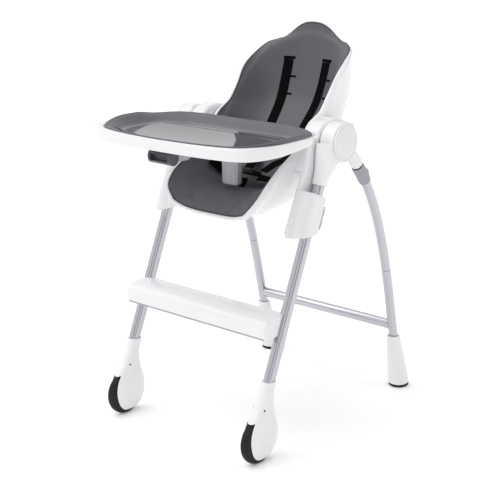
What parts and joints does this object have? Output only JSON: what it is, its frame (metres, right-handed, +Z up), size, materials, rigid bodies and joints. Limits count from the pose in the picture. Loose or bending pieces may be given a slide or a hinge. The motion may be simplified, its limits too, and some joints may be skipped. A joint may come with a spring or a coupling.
{
  "type": "baby high chair",
  "caption": "Folding baby high chair with a padded bucket seat, harness, sliding tray with lift-out insert, height carriages on straight front legs with castors, and curved rear legs.",
  "frame": {"origin": "middle of the chair's bounding box, on the floor", "axes": "+Z up; the child faces -Y, where the castors, tray and footrest are; +X is across the chair"},
  "size_m": [0.556, 0.7806, 1.047],
  "materials": {
    "white_plastic": "glossy moulded white",
    "light_grey_plastic": "satin light grey",
    "mid_grey_plastic": "satin mid grey",
    "post_grey_plastic": "satin grey with fine ribs",
    "lever_grey_plastic": "satin dark grey",
    "tray_grey_plastic": "glossy dark grey",
    "pad_cover": "smooth wipe-clean dark grey cover over foam",
    "webbing": "woven black webbing",
    "tyre_rubber": "matt black",
    "black_plastic": "satin black",
    "silver_tube": "satin anodised",
    "steel": "plain"
  },
  "bodies": {
    "front_frame": {"front_leg_right": "silver_tube", "front_leg_left": "silver_tube", "hub_housing_right": "white_plastic", "hub_housing_left": "white_plastic", "hub_cap_right": "light_grey_plastic", "hub_cap_left": "light_grey_plastic", "hub_pin_right": "steel", "hub_pin_left": "steel", "castor_housing_right": "white_plastic", "castor_housing_left": "white_plastic", "castor_axle_right": "steel", "castor_axle_left": "steel", "castor_screw_right": "steel", "castor_screw_left": "steel", "footrest": "white_plastic"},
    "castor_wheel_right": {"castor_tyre_right": "tyre_rubber", "castor_wheel_right": "light_grey_plastic"},
    "castor_wheel_left": {"castor_tyre_left": "tyre_rubber", "castor_wheel_left": "light_grey_plastic"},
    "rear_frame": {"rear_socket_right": "white_plastic", "rear_socket_left": "white_plastic", "fold_collar_right": "mid_grey_plastic", "fold_collar_left": "mid_grey_plastic", "rear_leg_upper_right": "silver_tube", "rear_leg_upper_left": "silver_tube", "rear_leg_lower_right": "silver_tube", "rear_leg_lower_left": "silver_tube", "rear_leg_stud_right": "steel", "rear_leg_stud_left": "steel", "rear_foot_right": "white_plastic", "rear_foot_left": "white_plastic", "rear_sole_right": "tyre_rubber", "rear_sole_left": "tyre_rubber", "rear_crossbar": "silver_tube"},
    "fold_button_right": {"fold_button_right": "mid_grey_plastic"},
    "fold_button_left": {"fold_button_left": "mid_grey_plastic"},
    "carriage": {"height_carriage_right": "white_plastic", "height_carriage_left": "white_plastic", "seat_pivot_pin_right": "steel", "seat_pivot_pin_left": "steel"},
    "height_trigger_right": {"height_trigger_right": "light_grey_plastic"},
    "height_trigger_left": {"height_trigger_left": "light_grey_plastic"},
    "seat": {"seat_shell": "white_plastic", "seat_tub": "white_plastic", "seat_pad": "pad_cover", "shoulder_strap_right": "webbing", "shoulder_strap_left": "webbing", "waist_strap_right": "webbing", "waist_strap_left": "webbing", "crotch_strap": "webbing", "harness_buckle": "black_plastic"},
    "buckle_button": {"buckle_button": "light_grey_plastic"},
    "tray": {"tray_frame": "white_plastic", "crotch_post": "post_grey_plastic", "tray_lever_block": "post_grey_plastic"},
    "tray_insert": {"tray_insert": "tray_grey_plastic"},
    "tray_lever": {"tray_lever": "lever_grey_plastic"}
  },
  "joints": [
    {"name": "castor_spin_right", "type": "hinge", "parent": "front_frame", "child": "castor_wheel_right", "pos_m": [0.238, -0.2893, 0.06], "axis": [1, 0, 0], "continuous": true},
    {"name": "castor_spin_left", "type": "hinge", "parent": "front_frame", "child": "castor_wheel_left", "pos_m": [-0.238, -0.2893, 0.06], "axis": [1, 0, 0], "continuous": true},
    {"name": "rear_leg_fold", "type": "hinge", "parent": "front_frame", "child": "rear_frame", "pos_m": [0, 0.0157, 0.775], "axis": [1, 0, 0], "range_deg": [-30, 0]},
    {"name": "fold_button_press_right", "type": "slide", "parent": "rear_frame", "child": "fold_button_right", "axis": [0, -0.7892, -0.6141], "range_m": [0, 0.002], "stiffness_N_per_m": 400},
    {"name": "fold_button_press_left", "type": "slide", "parent": "rear_frame", "child": "fold_button_left", "axis": [0, -0.7892, -0.6141], "range_m": [0, 0.002], "stiffness_N_per_m": 400},
    {"name": "seat_height", "type": "slide", "parent": "front_frame", "child": "carriage", "axis": [0, 0.3893, 0.9211], "range_m": [-0.16, 0]},
    {"name": "height_trigger_squeeze_right", "type": "slide", "parent": "carriage", "child": "height_trigger_right", "axis": [0, -0.9211, 0.3893], "range_m": [0, 0.003], "stiffness_N_per_m": 400},
    {"name": "height_trigger_squeeze_left", "type": "slide", "parent": "carriage", "child": "height_trigger_left", "axis": [0, -0.9211, 0.3893], "range_m": [0, 0.003], "stiffness_N_per_m": 400},
    {"name": "seat_recline", "type": "hinge", "parent": "carriage", "child": "seat", "pos_m": [0, -0.0693, 0.7], "axis": [1, 0, 0], "range_deg": [-12, 0]},
    {"name": "buckle_press", "type": "slide", "parent": "seat", "child": "buckle_button", "axis": [0, -0.3429, -0.9394], "range_m": [0, 0.0018], "stiffness_N_per_m": 300},
    {"name": "tray_depth", "type": "slide", "parent": "carriage", "child": "tray", "axis": [0, -1, 0], "range_m": [0, 0.07]},
    {"name": "tray_lift_out", "type": "slide", "parent": "tray", "child": "tray_insert", "axis": [0, 0, 1], "range_m": [0, 0.06]},
    {"name": "tray_lever_pull", "type": "slide", "parent": "tray", "child": "tray_lever", "axis": [0, 1, 0], "range_m": [0, 0.006], "stiffness_N_per_m": 500}
  ]
}
